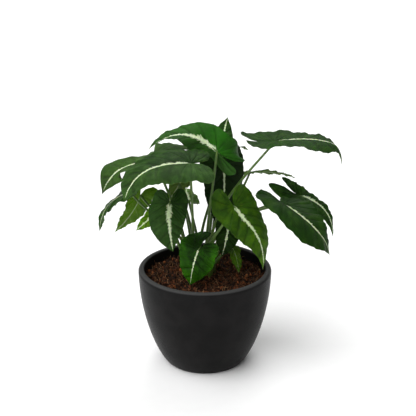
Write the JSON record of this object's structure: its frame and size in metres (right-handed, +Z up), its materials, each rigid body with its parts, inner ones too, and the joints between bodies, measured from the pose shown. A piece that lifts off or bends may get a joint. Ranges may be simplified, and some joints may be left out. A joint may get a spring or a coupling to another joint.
{
  "type": "potted syngonium wendlandii",
  "caption": "Leafy house plant with arrow-shaped, pale-veined leaves on thin stalks, standing in a filled round tapered pot with a flat base.",
  "frame": {"origin": "centre of the pot's flat base", "axes": "+Z up out of the pot, -Y towards the side that the picture shows, +X to the right seen from there"},
  "size_m": [0.3054, 0.214, 0.3088],
  "materials": {
    "pot": "matt charcoal, with a fine even grain and a soft shine on the rim",
    "soil": "loose dark brown bark chips and coconut fibre",
    "stem": "smooth green, ringed at the joint",
    "leaf": "satin dark green with a feathered cream midrib, lighter below"
  },
  "bodies": {
    "root": {"pot": "pot", "soil": "soil", "stem_1": "stem", "stem_2": "stem", "leaf_01": "leaf", "leaf_02": "leaf", "leaf_03": "leaf", "leaf_04": "leaf", "leaf_05": "leaf", "leaf_06": "leaf", "leaf_07": "leaf", "leaf_08": "leaf", "leaf_09": "leaf", "leaf_10": "leaf", "leaf_11": "leaf", "leaf_12": "leaf", "leaf_13": "leaf", "leaf_14": "leaf", "leaf_15": "leaf", "leaf_16": "leaf", "leaf_17": "leaf", "leaf_18": "leaf", "leaf_19": "leaf", "leaf_20": "leaf", "leaf_21": "leaf", "leaf_22": "leaf"}
  },
  "joints": []
}
